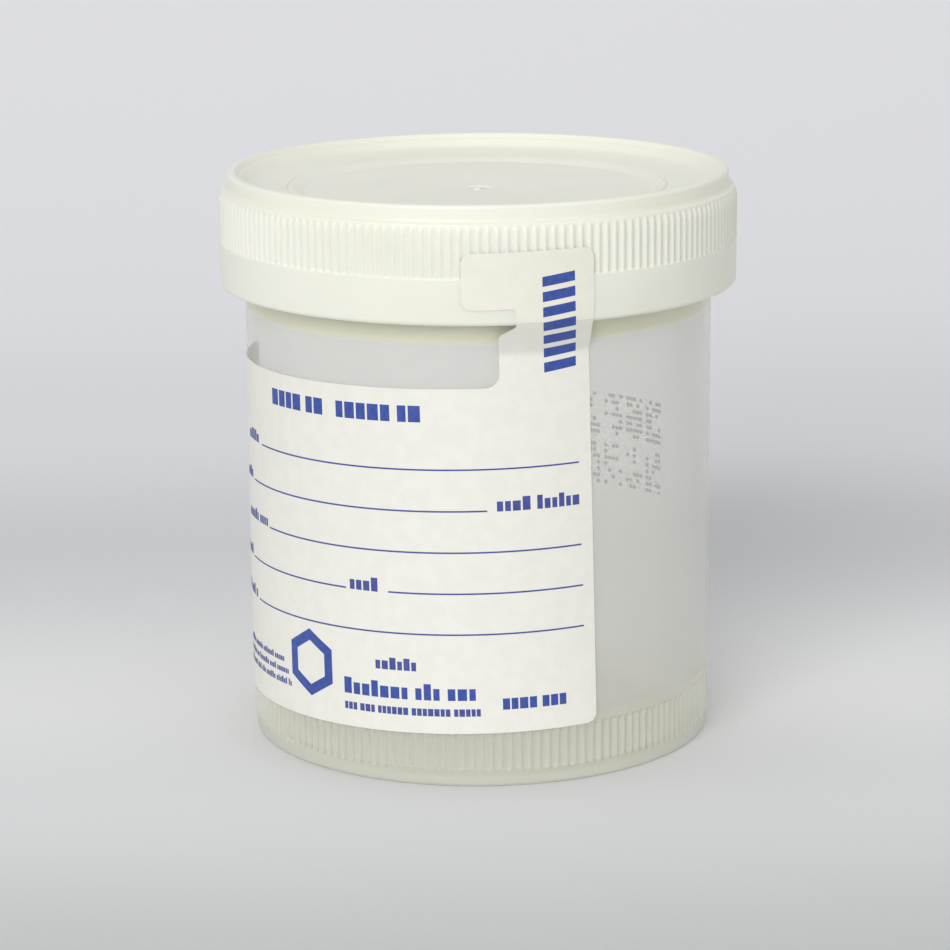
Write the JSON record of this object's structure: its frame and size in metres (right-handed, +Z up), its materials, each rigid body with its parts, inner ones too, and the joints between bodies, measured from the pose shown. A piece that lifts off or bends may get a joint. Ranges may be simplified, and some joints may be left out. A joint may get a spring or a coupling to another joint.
{
  "type": "specimen container",
  "caption": "Cylindrical screw-lid specimen container in translucent plastic, with a ribbed lid, fluted foot and a wrap-round paper label whose tab seals the lid.",
  "frame": {"origin": "middle of the foot ring, on the plane that it stands on", "axes": "+Z up along the cup's axis, -Y towards the front, where the seal runs up over the lid's edge"},
  "size_m": [0.0666, 0.0667, 0.0736],
  "materials": {
    "cup_plastic": "translucent, soft sheen",
    "lid_plastic": "ivory, soft sheen",
    "label_paper": "coated white paper"
  },
  "bodies": {
    "cup": {"cup": "cup_plastic", "label": "label_paper"},
    "lid": {"lid": "lid_plastic", "seal_tab": "label_paper"}
  },
  "joints": [
    {"name": "lid_lift", "type": "slide", "parent": "cup", "child": "lid", "axis": [0, 0, 1], "range_m": [0, 0.03]}
  ]
}
